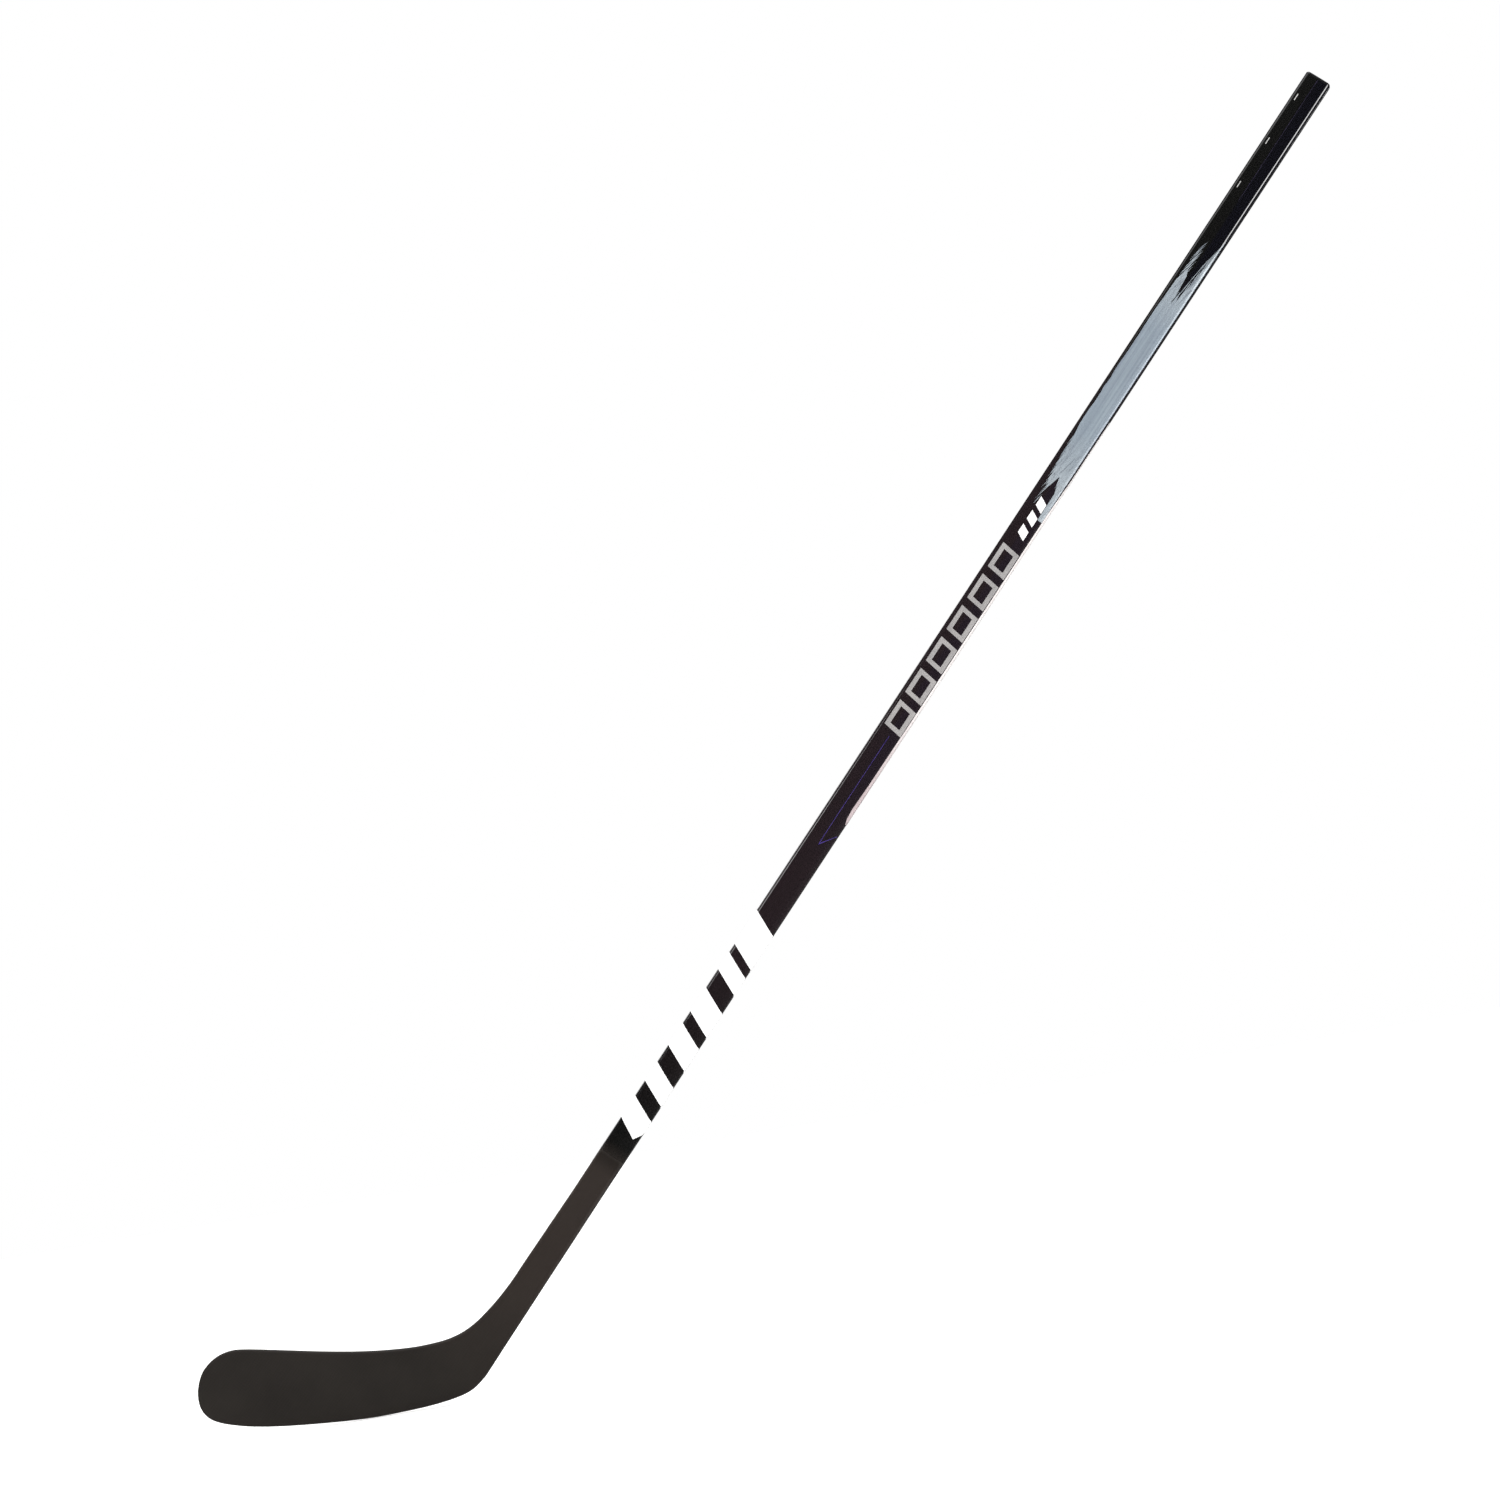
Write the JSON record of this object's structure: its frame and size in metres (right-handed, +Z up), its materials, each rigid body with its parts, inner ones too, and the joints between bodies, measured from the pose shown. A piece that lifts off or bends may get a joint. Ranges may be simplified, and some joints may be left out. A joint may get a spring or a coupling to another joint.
{
  "type": "ice hockey stick",
  "caption": "Fused composite player's ice hockey stick: hollow rectangular shaft, tapered lower shaft and curved foam-core blade with matte skins and printed bar graphics.",
  "frame": {"origin": "the point of the blade's rocker that touches the ice, on the shaft's middle plane", "axes": "+Z up from the ice; the blade points along -X and the shaft rises towards +X at 47 degrees; the forehand face looks along -Y"},
  "size_m": [1.3108, 0.0415, 1.1493],
  "materials": {
    "gloss_carbon": "clear-coated carbon laminate, high gloss",
    "matte_carbon": "matte charcoal carbon laminate",
    "raw_carbon": "uncoated carbon laminate",
    "black_plastic": "moulded black plastic",
    "epoxy": "cured adhesive",
    "foam": "closed-cell core foam",
    "white_film": "printed white film under clear coat",
    "grey_film": "printed grey film under clear coat",
    "silver_film": "brushed silver-blue foil under clear coat",
    "violet_film": "printed violet line under clear coat"
  },
  "bodies": {
    "root": {"shaft_tube": "gloss_carbon", "butt_end_plug": "black_plastic", "fuse_spigot": "raw_carbon", "fuse_adhesive": "epoxy", "lower_shaft": "matte_carbon", "damping_foam": "foam", "blade_forehand_skin": "matte_carbon", "blade_backhand_skin": "matte_carbon", "blade_top_edge": "matte_carbon", "blade_bottom_edge": "matte_carbon", "blade_bridge": "raw_carbon", "upper_foam_core": "foam", "lower_foam_core": "foam", "heel_block": "raw_carbon", "lower_bar_film": "white_film", "link_frame_film": "grey_film", "slash_film": "white_film", "silver_panel_film": "silver_film", "pinstripe_film": "violet_film", "side_stripe_film": "white_film", "length_tick_film": "white_film"}
  },
  "joints": []
}
